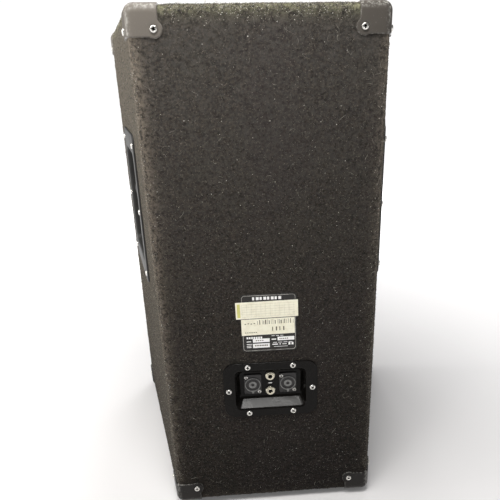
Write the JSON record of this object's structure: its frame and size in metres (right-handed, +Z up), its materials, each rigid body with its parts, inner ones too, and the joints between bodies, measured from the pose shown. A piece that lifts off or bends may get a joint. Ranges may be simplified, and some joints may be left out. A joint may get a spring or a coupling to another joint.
{
  "type": "pa speaker cabinet",
  "caption": "Trapezoidal carpet-covered two-way loudspeaker cabinet with recessed side handles, moulded corners, rear input dish, woofer and horn.",
  "frame": {"origin": "middle of the whole part in plan, on the surface that its rubber feet stand on", "axes": "+Z up, +Y out of the narrow rear face with the sockets, +X to the right as seen from the front"},
  "size_m": [0.5086, 0.3732, 0.7322],
  "materials": {
    "plywood": "bare birch ply, satin",
    "baffle_wood": "black painted ply, matt",
    "carpet": "short pile carpet, worn and linty",
    "guard_plastic": "moulded black plastic, scuffed",
    "zinc_screw": "zinc plated, bright",
    "black_screw": "black zinc",
    "handle_plastic": "moulded black plastic with fine texture",
    "grip_rubber": "ribbed black rubber",
    "dish_plastic": "moulded black plastic, satin",
    "socket_plastic": "black glass-filled nylon",
    "contact_brass": "tinned",
    "jack_nickel": "nickel plated",
    "label_film": "black printed film",
    "tag_paper": "aged paper",
    "grille_steel": "perforated steel, black powder coat",
    "basket_steel": "pressed steel, black",
    "gasket_card": "black card",
    "plate_steel": "zinc plated",
    "ferrite": "sintered ferrite, dark grey",
    "cone_paper": "black pulp, ribbed",
    "coil_copper": "enamelled copper wire",
    "surround_cloth": "doped pleated cloth",
    "spider_cloth": "resin treated cloth",
    "horn_plastic": "moulded black plastic",
    "cover_plastic": "moulded black plastic",
    "diaphragm_foil": "thin formed foil",
    "port_plastic": "moulded black plastic",
    "board_laminate": "green laminate",
    "capacitor_plastic": "moulded film capacitors",
    "wire_pvc": "two-core lead",
    "wadding_fibre": "polyester fibre",
    "pole_cup_steel": "pressed steel, black",
    "foot_rubber": "moulded rubber"
  },
  "bodies": {
    "cabinet": {"panel_top": "plywood", "panel_bottom": "plywood", "panel_left": "plywood", "panel_right": "plywood", "panel_rear": "plywood", "front_baffle": "baffle_wood", "inner_bracing": "plywood", "carpet_covering": "carpet", "corner_rear_top_left": "guard_plastic", "corner_rear_top_right": "guard_plastic", "corner_rear_bottom_left": "guard_plastic", "corner_rear_bottom_right": "guard_plastic", "corner_front_top_left": "guard_plastic", "corner_front_top_right": "guard_plastic", "corner_front_bottom_left": "guard_plastic", "corner_front_bottom_right": "guard_plastic", "corner_screws": "zinc_screw", "handle_dish_left": "handle_plastic", "handle_dish_right": "handle_plastic", "handle_grip_left": "grip_rubber", "handle_grip_right": "grip_rubber", "handle_screws": "zinc_screw", "input_dish": "dish_plastic", "input_dish_screws": "zinc_screw", "speaker_socket_left": "socket_plastic", "speaker_socket_right": "socket_plastic", "socket_screws": "zinc_screw", "socket_contacts": "contact_brass", "jack_upper": "jack_nickel", "jack_lower": "jack_nickel", "jack_nuts": "jack_nickel", "rating_label": "label_film", "paper_tags": "tag_paper", "grille": "grille_steel", "grille_screws": "black_screw", "woofer_basket": "basket_steel", "woofer_gasket": "gasket_card", "woofer_top_plate": "plate_steel", "woofer_magnet": "ferrite", "woofer_yoke": "plate_steel", "woofer_surround": "surround_cloth", "woofer_spider": "spider_cloth", "driver_screws": "black_screw", "horn_flare": "horn_plastic", "horn_driver_body": "ferrite", "horn_driver_cover": "cover_plastic", "port_tube_left": "port_plastic", "port_tube_right": "port_plastic", "crossover_board": "board_laminate", "crossover_coils": "coil_copper", "crossover_capacitors": "capacitor_plastic", "internal_wires": "wire_pvc", "acoustic_wadding": "wadding_fibre", "pole_socket": "pole_cup_steel", "rubber_feet": "foot_rubber", "base_screws": "zinc_screw"},
    "woofer_cone_assembly": {"woofer_cone": "cone_paper", "woofer_dust_cap": "cone_paper", "woofer_voice_coil": "coil_copper"},
    "horn_diaphragm_assembly": {"horn_diaphragm": "diaphragm_foil"}
  },
  "joints": [
    {"name": "woofer_cone_slide", "type": "slide", "parent": "cabinet", "child": "woofer_cone_assembly", "axis": [0, 1, 0], "range_m": [-0.005, 0.005], "stiffness_N_per_m": 3000, "deforming": ["woofer_surround", "woofer_spider"]},
    {"name": "horn_diaphragm_slide", "type": "slide", "parent": "cabinet", "child": "horn_diaphragm_assembly", "axis": [0, 1, 0], "range_m": [-0.0003, 0.0003], "stiffness_N_per_m": 2000}
  ]
}
